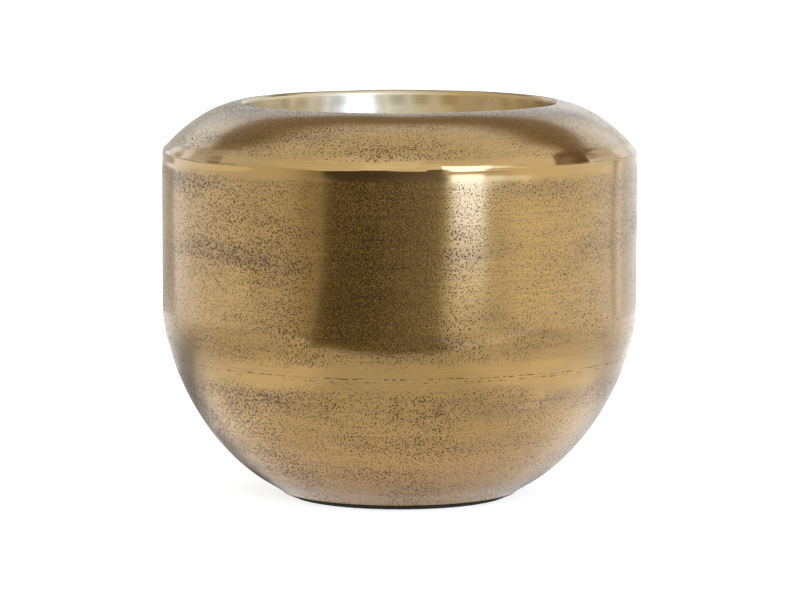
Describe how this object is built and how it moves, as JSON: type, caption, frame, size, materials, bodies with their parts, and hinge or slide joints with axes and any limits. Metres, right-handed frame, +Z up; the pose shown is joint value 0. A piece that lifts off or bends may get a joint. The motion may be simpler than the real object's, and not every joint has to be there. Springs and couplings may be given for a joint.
{
  "type": "brass planter pot",
  "caption": "Round cast metal planter pot with a bowl base, straight drum, domed shoulder and open collared mouth, in an antique brass finish.",
  "frame": {"origin": "centre of the base pad's underside, where the pot stands on a surface", "axes": "+Z up along the pot's axis, out of the mouth; X and Y level"},
  "size_m": [0.38, 0.38, 0.3165],
  "materials": {
    "antique_brass": "antique brass, cast and turned, pitted, satin with dark patina",
    "ground_weld": "hand-ground and polished weld, fine pits",
    "adhesive": "contact glue",
    "base_pad": "matt black foam rubber"
  },
  "bodies": {
    "root": {"bowl_casting": "antique_brass", "drum_casting": "antique_brass", "shoulder_casting": "antique_brass", "seam_weld": "ground_weld", "ridge_weld": "ground_weld", "pad_adhesive": "adhesive", "base_pad": "base_pad"}
  },
  "joints": []
}
